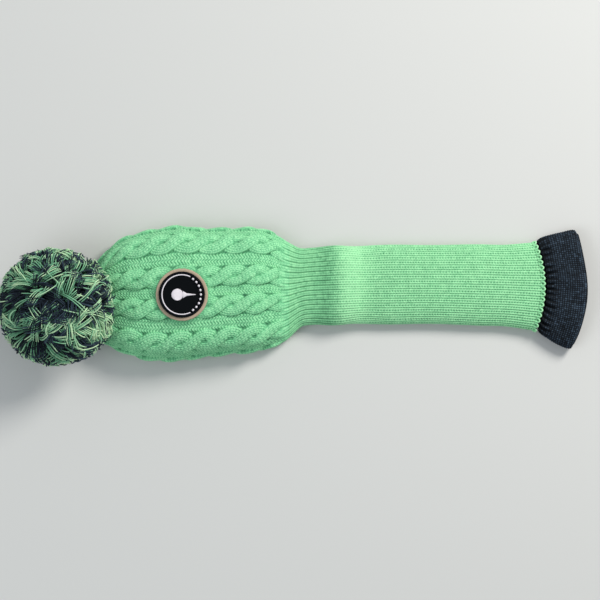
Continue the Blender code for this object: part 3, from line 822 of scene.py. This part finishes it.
def two_ply(path, radius, pitch):
    """Two strands twisted round a path: their centre lines."""
    tangent = np.gradient(path, axis=0)
    tangent /= np.linalg.norm(tangent, axis=1, keepdims=True)
    _, first, _ = basis(tangent[0])
    frames = []
    for direction in tangent:
        first = first - (first @ direction) * direction
        first /= np.linalg.norm(first)
        frames.append(first)
    frames = np.array(frames)
    second = np.cross(tangent, frames)
    run = np.concatenate([[0], np.cumsum(np.linalg.norm(np.diff(path, axis=0), axis=1))])
    angle = TAU * run / pitch
    offset = (frames * np.cos(angle)[:, None] + second * np.sin(angle)[:, None]) * radius * 0.5
    return np.stack([path + offset, path - offset])


def yarn_piece(name, paths, radius, pitch, surface, sides=6):
    """A piece made of two-ply yarn along each path."""
    parts = Parts()
    for path in paths:
        parts.tubes(two_ply(path, radius, pitch), radius * 0.62, sides, 0.7)
    return parts.make(name, surface)


STRING_RADIUS, STRING_WAVE, STRING_WAVES = 0.0072, 0.0005, 12


def drawstring_path():
    """A slightly wavy ring of yarn round the hole of the crown."""
    angle = TAU * np.linspace(0, 1, 180)
    reach = STRING_RADIUS + STRING_WAVE * np.sin(STRING_WAVES * angle)
    _, first, second = basis((1, 0, 0))
    x, y = reach * np.cos(angle), reach * np.sin(angle)
    return string_centre + np.outer(x, first) + np.outer(y, second)


toward_pom = POM_CENTRE - TIE_POINT
tie_axis = toward_pom / np.linalg.norm(toward_pom)
crown_hole = np.array((CROWN_TIP_X, centre_y(CROWN_TIP_X), CROWN_TIP_Z))
string_centre = crown_hole - np.array((0.0015, 0, 0))
drawstring = yarn_piece("crown_drawstring_yarn", [drawstring_path()], 0.0010, 0.004, mint)
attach(drawstring, "head")
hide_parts("crown_drawstring")

outer_path = wound_turns(TIE_POINT, (0, 1, 0.3), 0.0016, 0.0013, 5, 160)
outer_knot = yarn_piece("tie_knot_outside", [outer_path], 0.0007, 0.0028, tie_yarn)
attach(outer_knot, "tie_swivel")
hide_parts("tie_outer_knot")

inner_centre = crown_hole + np.array((KNIT_WALL + 0.0003 + 0.0042, 0, 0))
inner_path = wound_turns(inner_centre, (0.4, 1, 0), 0.0030, 0.0026, 7, 220)
stub = np.linspace(crown_hole, inner_centre, 24)
inner_knot = yarn_piece("tie_knot_inside", [inner_path, stub], 0.0010, 0.0032, tie_yarn)
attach(inner_knot, "head")
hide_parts("tie_inner_knot")

tether_path = np.linspace(TIE_POINT + tie_axis * 0.0032, POM_CENTRE - tie_axis * 0.0095, 60)
tether = yarn_piece("pom_tether_yarn", [tether_path], 0.0016, 0.0045, tie_yarn)
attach(tether, "tie")
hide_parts("pom_tether")

binding_path = wound_turns(POM_CENTRE, tie_axis, 0.0070, 0.0060, 14, 420, waist=0.35)
binding = yarn_piece("pom_binding_yarn", [binding_path], 0.0011, 0.0036, tie_yarn)
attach(binding, "pompom")
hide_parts("pom_center_tie")


# ---------- pom-pom


TUFTS = 30
BUNDLES = 1550
MOST_IN_BUNDLE = 5
BUNDLE_CURL = 0.07
CLEAR_OF_TIE = 0.86
STRAND_STEPS = 10
STRAND_RADIUS = 0.00050
STRAND_SPACING = 0.00135
TIP_TAPER = 0.55
STRAY_STRANDS = 20
STRAYS_CLEAR_OF_TIE, STRAYS_MINTY = 0.55, 0.75
MOST_DRAWN_IN = 0.018
CORE_SHARE = 0.72
GOLDEN = 0.6180339887
CROWN_MARGIN = 0.0026
STRING_CLEARANCE = 0.0100
FREE = 2.0
ROOM_ANGLE = math.radians(100)
ROOM_ROWS, ROOM_COLUMNS = 51, 96
REACHES = np.linspace(0.40, 1.20, 41)
FLOOR_RISE = 0.004
SWINGS = [(0, 0, 0), (-20, -48, -60), (20, 6, 60)]
SWINGS += [(sway, 0, 0) for sway in (-20, -13, -6, 6, 13, 20)]
SWINGS += [(0, nod, 0) for nod in (-48, -36, -24, -12, 6)]
SWINGS += [(0, 0, twist) for twist in (-60, -40, -20, 20, 40, 60)]
NAVY_OVER = -0.06
CROWNWARD, OVER_CROWN = np.array((0.985, 0.0, 0.17)), 0.11


def even_directions(count, jitter):
    """Directions spread evenly over a sphere, each moved a little."""
    place = np.arange(count) + 0.5
    z = 1 - 2 * place / count
    around = TAU * place * GOLDEN
    flat = np.sqrt(1 - z * z)
    made = np.stack([flat * np.cos(around), flat * np.sin(around), z], 1)
    made += random.normal(0, jitter, made.shape)
    return made / np.linalg.norm(made, axis=1, keepdims=True)


def between(first, second, amount):
    """Points on the great circles from first to second."""
    cosine = np.clip((first * second).sum(-1, keepdims=True), -0.999, 0.999)
    angle = np.arccos(cosine)
    return (np.sin((1 - amount) * angle) * first + np.sin(amount * angle) * second) / np.sin(angle)


def in_crown(points, margin):
    """How far out points are in the crown's section (1 on its surface), and from its middle."""
    x = points[..., 0]
    reach = np.clip((HEAD_WIDEST_X - x) / (HEAD_WIDEST_X - CROWN_TIP_X + margin), 0, 1)
    sine = np.sqrt(np.clip(1 - reach**CROWN_POWER, 0, 1))
    half_width = HEAD_HALF_WIDTH * sine ** (2 / CROWN_POWER) + margin
    top = CROWN_TIP_Z + (HEAD_HEIGHT - CROWN_TIP_Z) * sine + margin
    base = CROWN_TIP_Z * (1 - sine ** (2 / BASE_POWER)) - margin
    widest = base + WIDEST_SHARE * (top - base)
    y, z = points[..., 1] - centre_y(x), points[..., 2] - widest
    tall = np.maximum(np.where(z >= 0, top - widest, widest - base), 1e-4)
    size = np.abs(y / half_width) ** SIDE_POWER + np.abs(z / tall) ** SIDE_POWER
    size = size ** (1 / SIDE_POWER)
    return np.where((x > CROWN_TIP_X - margin) & (sine > 0.02), size, 9.0), y, z, widest


def clear_of_head(points, margin):
    """Moves points that are in the crown, or too near it, outwards from the crown's middle line."""
    size, y, z, widest = in_crown(points, margin)
    factor = np.where(size < 1, 1 / np.maximum(size, 0.25), 1.0)
    moved = points.copy()
    moved[..., 1] += y * (factor - 1)
    moved[..., 2] = np.where(size < 1, widest + z * factor, points[..., 2])
    return moved


def turned(points, axis, degrees, about):
    """Points turned about an axis, by the right-hand rule."""
    angle = math.radians(degrees)
    offset = points - about
    along = (offset @ axis)[..., None] * axis
    square = (offset - along) * math.cos(angle) + np.cross(axis, offset) * math.sin(angle)
    return about + along + square


def posed(points, sway, nod, twist):
    """Where points of the pom-pom go when its three joints turn."""
    points = turned(points, tie_axis, twist, POM_CENTRE)
    points = turned(points, np.array((0.0, 1.0, 0.0)), nod, TIE_POINT)
    return turned(points, np.array((0.0, 0.0, 1.0)), sway, TIE_POINT)


def room_beside_crown():
    """How far the ball may reach in each direction to stay off the crown as it swings and turns.

    Rows go from straight at the crown to ROOM_ANGLE away from it, columns go once round.
    """
    away = np.linspace(0, ROOM_ANGLE, ROOM_ROWS)[:, None]
    _, first, second = basis(-tie_axis)
    around = TAU * np.arange(ROOM_COLUMNS)[None] / ROOM_COLUMNS
    side = np.cos(around)[..., None] * first + np.sin(around)[..., None] * second
    direction = -tie_axis * np.cos(away)[..., None] + side * np.sin(away)[..., None]
    room = np.full(direction.shape[:2], FREE)
    for pose in SWINGS:
        for reach in REACHES:
            point = posed(pom_point(direction, reach), *pose)
            offset = point - string_centre
            at_string = np.hypot(offset[..., 1], offset[..., 2]) < STRING_CLEARANCE
            inside = in_crown(point, CROWN_MARGIN)[0] < 1
            inside |= at_string & (offset[..., 0] > -CROWN_MARGIN)
            room = np.where(inside, np.minimum(room, reach), room)
    return np.vstack([room, np.full((1, ROOM_COLUMNS), FREE)])


def room_used(points):
    """How much of the room beside the crown each point of the ball takes (1 at its limit)."""
    offset = (points - POM_CENTRE) / POM_RADII
    reach = np.linalg.norm(offset, axis=-1)
    direction = offset / np.maximum(reach, 1e-9)[..., None]
    _, first, second = basis(-tie_axis)
    away = np.arccos(np.clip(direction @ -tie_axis, -1, 1)) / ROOM_ANGLE * (ROOM_ROWS - 1)
    around = np.arctan2(direction @ second, direction @ first) / TAU % 1 * ROOM_COLUMNS
    row = np.minimum(away.astype(int), ROOM_ROWS - 1)
    column = around.astype(int) % ROOM_COLUMNS
    beside = (column + 1) % ROOM_COLUMNS
    low = mix(room_table[row, column], room_table[row, beside], around % 1)
    next_row = np.minimum(row + 1, ROOM_ROWS)
    high = mix(room_table[next_row, column], room_table[next_row, beside], around % 1)
    return reach / mix(low, high, np.clip(away - row, 0, 1))


def drawn_in(points, share):
    """Points moved towards the middle of the ball, by a share of their way to it."""
    return points + (POM_CENTRE - points) * share[..., None]


def settle(points, radius, ease):
    """Keeps points of the ball over the floor and off the crown, wherever the ball swings."""
    used = np.maximum(room_used(points) / (1 - ease), 1)
    points = clear_of_head(drawn_in(points, 1 - 1 / used), CROWN_MARGIN)
    low = radius + 0.0002
    over = points[..., 2] - low - FLOOR_RISE
    eased = low + FLOOR_RISE * np.exp(over / FLOOR_RISE)
    points[..., 2] = np.where(over < 0, eased, points[..., 2])
    return points


def pom_point(direction, reach):
    return POM_CENTRE + direction * reach * POM_RADII


room_table = room_beside_crown()


def combed_strands():
    """Bundles of cut strands side by side, that fan out from the sunken middle of their tuft."""
    tufts = even_directions(TUFTS, 0.20)
    leans = random.normal(0, 1, tufts.shape)
    roots = even_directions(BUNDLES, 0.04)
    waves = random.normal(0, 12.0, (6, 3))
    phases = random.uniform(0, TAU, 6)
    t = np.linspace(0, 1, STRAND_STEPS)[:, None]
    made, colours = [], []
    for root in roots:
        if root @ -tie_axis > CLEAR_OF_TIE:
            continue
        owner = int(np.argmax(tufts @ root + random.normal(0, 0.02, TUFTS)))
        centre = tufts[owner]
        away = (root - centre) / max(np.linalg.norm(root - centre), 1e-6)
        outward = np.array((root[0], root[1], 0.0))
        topward = smoothstep(0.60, 0.92, abs(root[2]))
        lean = mix(0.45, 1.0, topward) * (0.9 * away + 0.45 * leans[owner])
        lean += mix(2.0, 0.30, topward) * outward + random.normal(0, 0.10, 3)
        lean = lean - (lean @ root) * root
        lean /= np.linalg.norm(lean)
        flat_share = smoothstep(0.05, 0.65, abs(root[2]))
        lay = mix(0.05, 0.54, flat_share) * random.uniform(0.7, 1.3)
        first = mix(root, centre, 0.60 * flat_share) + random.normal(0, 0.03, 3)
        first /= np.linalg.norm(first)
        last = math.cos(lay) * root + math.sin(lay) * lean
        aside = np.cross(root, lean)
        depth = random.uniform(0.50, 0.66)
        top = mix(1.0, 0.975 - 0.09 * random.random(), flat_share) + random.normal(0, 0.014)
        top += OVER_CROWN * smoothstep(0.3, 0.9, last @ CROWNWARD) * (root[2] > -0.2)
        curl = random.normal(0, BUNDLE_CURL)
        patch = 0.3 * np.sin(waves @ root + phases).sum()
        colour = patch + random.normal(0, 1.0) > NAVY_OVER
        count = random.integers(1, MOST_IN_BUNDLE + 1)
        for index in range(count):
            off = (index - (count - 1) / 2) * STRAND_SPACING
            line = between(first[None], last[None], t) + aside * curl * np.sin(math.pi * t)
            line /= np.linalg.norm(line, axis=1, keepdims=True)
            own_top = top + random.normal(0, 0.010)
            rise = np.sin(t * math.pi / 2) ** mix(1.1, 0.65, flat_share)
            reach = depth + (own_top - depth) * rise
            line = pom_point(line, reach)
            drift, sway = random.normal(0, 0.0005), random.normal(0, 0.0004)
            made.append(line + aside * (off * (0.6 + t) + drift * t + sway * np.sin(4 * t)))
            colours.append(colour)
    return np.array(made), np.array(colours)


def stray_strands():
    """Long single strands that wander over the surface."""
    t = np.linspace(0, 1, STRAND_STEPS)
    made = []
    for start in even_directions(STRAY_STRANDS, 0.2):
        if start @ -tie_axis > STRAYS_CLEAR_OF_TIE:
            continue
        _, first, second = basis(start)
        angle = random.uniform(0, TAU) + random.normal(0, 1.0) * t
        step = random.uniform(0.3, 0.6) / STRAND_STEPS
        flat = np.cumsum(np.stack([np.cos(angle), np.sin(angle)], 1), axis=0) * step
        path = start + flat[:, :1] * first + flat[:, 1:] * second
        path /= np.linalg.norm(path, axis=1, keepdims=True)
        reach = 0.88 + 0.13 * np.sin(math.pi * np.clip(t * 0.95 + 0.08, 0, 1)) ** 0.6
        made.append(pom_point(path, reach[:, None]))
    made = np.array(made)
    return made, random.random(len(made)) < STRAYS_MINTY


def strand_tone(paths):
    """Dark near the middle of the ball, painted shade among the strands, and pale at the cut ends."""
    away = np.linalg.norm((paths - POM_CENTRE) / POM_RADII, axis=2)
    tone = np.clip((away - 0.70) / 0.30, 0, 1) ** 1.6
    own = random.normal(0, 0.24, (len(paths), 1))
    tips = np.linspace(0, 1, paths.shape[1])[None] ** 8 * 0.30
    return np.clip(0.05 + 0.70 * tone + own * tone + tips, 0, 1)


def pom_pom():
    """The mint and the navy strands, drawn in together where the crown or the floor needs the room."""
    families = [combed_strands(), stray_strands()]
    paths = np.concatenate([paths for paths, _ in families])
    minty = np.concatenate([colours for _, colours in families])
    ease = 0.05 * (np.arange(len(paths))[:, None] * GOLDEN % 1)
    used = np.maximum((room_used(paths) / (1 - ease)).max(axis=1, keepdims=True), 1)
    along = np.sqrt(np.linspace(0, 1, STRAND_STEPS))
    drawn = settle(drawn_in(paths, (1 - 1 / used) * along), STRAND_RADIUS, ease)
    free = np.linalg.norm(drawn - paths, axis=2).max(axis=1) < MOST_DRAWN_IN
    paths, minty = drawn[free], minty[free]
    tones = strand_tone(paths)
    radius = STRAND_RADIUS * np.concatenate([np.ones(STRAND_STEPS - 1), [TIP_TAPER]])[None]
    made = Parts().tubes(paths[minty], radius, 4, tones[minty])
    other = Parts().tubes(paths[~minty], radius, 4, tones[~minty])
    return made.make("pom_strands_mint", pile_mint), other.make("pom_strands_navy", pile_navy)


def pom_core():
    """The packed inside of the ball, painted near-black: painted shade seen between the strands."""
    around = TAU * np.arange(96)[None] / 96
    tilt = np.linspace(0.02, math.pi - 0.02, 60)[:, None]
    x, y = np.sin(tilt) * np.cos(around), np.sin(tilt) * np.sin(around)
    direction = np.stack([x, y, np.broadcast_to(np.cos(tilt), x.shape)], -1)
    ripple = 0.02 * np.sin(23 * around + 5 * tilt) + 0.02 * np.sin(31 * tilt + 7 * around)
    points = settle(pom_point(direction, (CORE_SHARE + ripple)[..., None]), 0.001, 0.03)
    # tone 0.05, the near-black end of the navy pile: painted shade
    return Parts().grid(points, 0.05).make("pom_packed_core", pile_navy)


strands_mint, strands_navy = pom_pom()
core = pom_core()
for piece, slot_name in ((strands_mint, "pom_mint"), (strands_navy, "pom_navy"), (core, "pom_navy")):
    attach(piece, "pompom")
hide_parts(*[f"pom_tuft_mint_{number}" for number in range(1, 7)])
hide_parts(*[f"pom_tuft_navy_{number}" for number in range(1, 6)])


# ---------- badge


def disc_grid(radius, rows, around, height):
    """A disc as rings from its middle to its edge; height gives z above the badge's own zero."""
    reach = np.linspace(0.002, 1.0, rows)[:, None] * radius
    angle = TAU * np.arange(around)[None] / around
    x, y = reach * np.cos(angle), reach * np.sin(angle)
    return np.stack([BADGE[0] + x, BADGE[1] + y, height(x, y, reach / radius)], -1)


FELT_THICK = 0.0012
RIM_RADIUS, RIM_HALF_WIDTH, RIM_YARN_RADIUS = 0.0195, 0.0009, 0.00045
FACE_RADIUS, TWILL_PITCH = 0.0191, 0.0011
RING_INNER, RING_OUTER, BEADS_RADIUS = 0.0173, 0.0181, 0.0171
BACKING_LOW = HEAD_HEIGHT + 0.0003
FACE_LOW = BACKING_LOW + FELT_THICK + 0.0003
FACE_TOP = FACE_LOW + 0.0009
THREAD_LOW = FACE_TOP + 0.0003


def badge_backing():
    """Felt with a soft worn edge."""

    def top(x, y, share):
        angle = np.arctan2(y, x)
        rough = 0.00006 * np.sin(41 * angle) + 0.00005 * np.sin(67 * angle + 1)
        worn = 0.0007 * np.clip((share - 0.955) / 0.045, 0, 1) ** 2
        return BACKING_LOW + FELT_THICK - worn + rough * share

    upper = disc_grid(BADGE_RADIUS, 40, 180, top)
    angle = TAU * np.arange(180) / 180
    ragged = 1 + 0.006 * np.sin(29 * angle) * np.sin(7 * angle)
    edge = upper[-1].copy()
    edge[:, :2] = BADGE + (edge[:, :2] - BADGE) * ragged[:, None]
    lower = edge.copy()
    lower[:, 2] = BACKING_LOW - FELT_THICK
    points = np.concatenate([upper[:-1], edge[None], lower[None]])
    return Parts().grid(points, 0.7).make("badge_felt", felt)


def badge_border():
    """Overlocked edge: close turns of black thread round the badge's rim."""
    wraps, per_wrap = 132, 10
    t = np.arange(wraps * per_wrap + 1) / (wraps * per_wrap)
    around, roll = TAU * t, TAU * wraps * t
    radius = RIM_RADIUS + RIM_HALF_WIDTH * np.cos(roll)
    z = FACE_LOW + 0.0004 + 0.00085 * np.sin(roll)
    path = np.stack([BADGE[0] + radius * np.cos(around), BADGE[1] + radius * np.sin(around), z], 1)
    # painted light on the top of each wrap, painted shade under it
    tone = 0.35 + 0.5 * np.clip(np.sin(roll), 0, 1)[None]
    return Parts().tubes(path[None], RIM_YARN_RADIUS, 6, tone).make("badge_overlock_rim", badge_black)


def badge_face():
    """Twill: fine slanting ridges of thread."""

    def twill(x, y):
        return np.abs(np.sin((x + y) * math.pi / TWILL_PITCH))

    def top(x, y, share):
        return FACE_TOP - 0.0003 * share**6 + 0.00010 * twill(x, y)

    face = disc_grid(FACE_RADIUS, 120, 360, top)
    # painted light on the twill's ridges and painted shade between them
    tone = 0.25 + 0.35 * twill(face[..., 0] - BADGE[0], face[..., 1] - BADGE[1])
    return Parts().grid(face, tone).make("badge_twill_face", badge_black)


def satin(lines, lift, radius=0.00016, steps=7):
    """Parallel threads, each from one point to another over a low rounded bed."""
    t = np.linspace(0, 1, steps)
    paths = []
    for first, last in lines:
        first, last = np.asarray(first, float), np.asarray(last, float)
        flat = first + (last - first) * t[:, None]
        z = THREAD_LOW + lift * np.sin(math.pi * t) ** 0.45
        paths.append(np.column_stack([BADGE[0] + flat[:, 0], BADGE[1] + flat[:, 1], z]))
    # painted light over the crown of each thread, painted shade at its ends
    return Parts().tubes(np.array(paths), radius, 5, (0.6 + 0.4 * np.sin(math.pi * t))[None])


def badge_ring():
    """A ring of satin stitch, open towards the mouth."""
    half_open = math.radians(65)
    angle = np.linspace(half_open, TAU - half_open, 330)
    inner = RING_INNER * np.stack([np.cos(angle), np.sin(angle)], 1)
    outer = RING_OUTER * np.stack([np.cos(angle + 0.012), np.sin(angle + 0.012)], 1)
    lines = zip(inner, outer)
    return satin(lines, 0.00035).make("badge_satin_ring", badge_white)


def badge_beads():
    """Nine knots of thread along the ring's opening, each a small wound ball."""
    parts = Parts()
    for angle in np.radians(np.linspace(-54, 54, 9)):
        outward = np.array((math.cos(angle), math.sin(angle), 0.0))
        middle = np.array((BADGE[0], BADGE[1], THREAD_LOW + 0.0006)) + outward * BEADS_RADIUS
        path = wound_turns(middle, (-outward[1], outward[0], 0), 0.00080, 0.00085, 8, 130)
        parts.tubes(path[None], 0.00028, 5, 0.85)
        link = np.linspace(middle - outward * 0.0002, middle + outward * 0.0002, 3)
        parts.tubes(link[None], 0.0004, 5, 0.6)
    return parts.make("badge_bead_knots", badge_white)


def badge_emblem():
    """A golf ball on its tee in satin stitch, the ball towards the crown."""
    ball_x, ball_radius, tee_x, tee_tip_x, thread = -0.0040, 0.0052, 0.0012, 0.0125, 0.00030
    lines = []
    for y in np.arange(-ball_radius + 0.0001, ball_radius, thread):
        half = math.sqrt(ball_radius**2 - y**2)
        lines.append(((ball_x - half, y), (ball_x + half, y)))
    for x in np.arange(tee_x, tee_tip_x, thread):
        run = (x - tee_x) / (tee_tip_x - tee_x)
        half = np.interp(run, (0, 0.28, 1), (0.0030, 0.0011, 0.0002))
        lines.append(((x, -half), (x, half)))
    return satin(lines, 0.00045, 0.00018, 9).make("badge_ball_on_tee", badge_white)


badge_pieces = (
    (badge_backing(), "badge_backing", "badge_felt"),
    (badge_border(), "badge_border", "badge_black"),
    (badge_face(), "badge_face", "badge_black"),
    (badge_ring(), "badge_ring", "badge_white"),
    (badge_beads(), "badge_bead_arc", "badge_white"),
    (badge_emblem(), "badge_emblem", "badge_white"),
)
for piece, node, slot_name in badge_pieces:
    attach(piece, "head")
    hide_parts(node)


# ---------- floor, light and camera


def studio():
    floor_mesh = bpy.data.meshes.new("floor")
    floor_mesh.from_pydata([(-6, -6, 0), (6, -6, 0), (6, 6, 0), (-6, 6, 0)], [], [(0, 1, 2, 3)])
    floor = bpy.data.objects.new("floor", floor_mesh)
    bpy.context.scene.collection.objects.link(floor)
    pale = bpy.data.materials.new("floor")
    pale.use_nodes = True
    shader = pale.node_tree.nodes["Principled BSDF"]
    shader.inputs["Base Color"].default_value = (0.62, 0.62, 0.60, 1)
    shader.inputs["Roughness"].default_value = 0.9
    floor_mesh.materials.append(pale)

    world = bpy.data.worlds.new("studio")
    world.use_nodes = True
    sky = world.node_tree.nodes["Background"]
    sky.inputs["Color"].default_value = (0.86, 0.93, 1.0, 1)
    sky.inputs["Strength"].default_value = 0.42
    bpy.context.scene.world = world

    for name, place, size, power, colour in (
        ("key", (1.25, 1.15, 1.25), 0.8, 44, (1.0, 0.98, 0.94)),
        ("fill", (-1.2, -0.6, 1.4), 1.4, 10, (0.92, 0.96, 1.0)),
    ):
        light = bpy.data.lights.new(name, "AREA")
        light.shape = "DISK"
        light.size = size
        light.energy = power
        light.color = colour
        lamp = bpy.data.objects.new(name, light)
        lamp.location = place
        lamp.rotation_mode = "QUATERNION"
        lamp.rotation_quaternion = (Vector((0, 0, 0.02)) - Vector(place)).to_track_quat("-Z", "Y")
        bpy.context.scene.collection.objects.link(lamp)

    bpy.context.scene.view_settings.view_transform = "Standard"


CAMERA_ELEVATION = 88
CAMERA_DISTANCE = 4.0
SENSOR_WIDTH = 36
VIEW_WIDTH = 0.540
VIEW_CENTRE = Vector((0.0055, -0.0042, 0.015))


def camera():
    lens = bpy.data.cameras.new("camera")
    lens.sensor_width = SENSOR_WIDTH
    lens.lens = SENSOR_WIDTH * CAMERA_DISTANCE / VIEW_WIDTH
    lens.clip_end = 50
    made = bpy.data.objects.new("camera", lens)
    tilt = math.radians(CAMERA_ELEVATION)
    back = Vector((0, -math.cos(tilt), math.sin(tilt)))
    made.location = VIEW_CENTRE + back * CAMERA_DISTANCE
    made.rotation_mode = "QUATERNION"
    made.rotation_quaternion = (-back).to_track_quat("-Z", "Y")
    bpy.context.scene.collection.objects.link(made)
    bpy.context.scene.camera = made


studio()
camera()
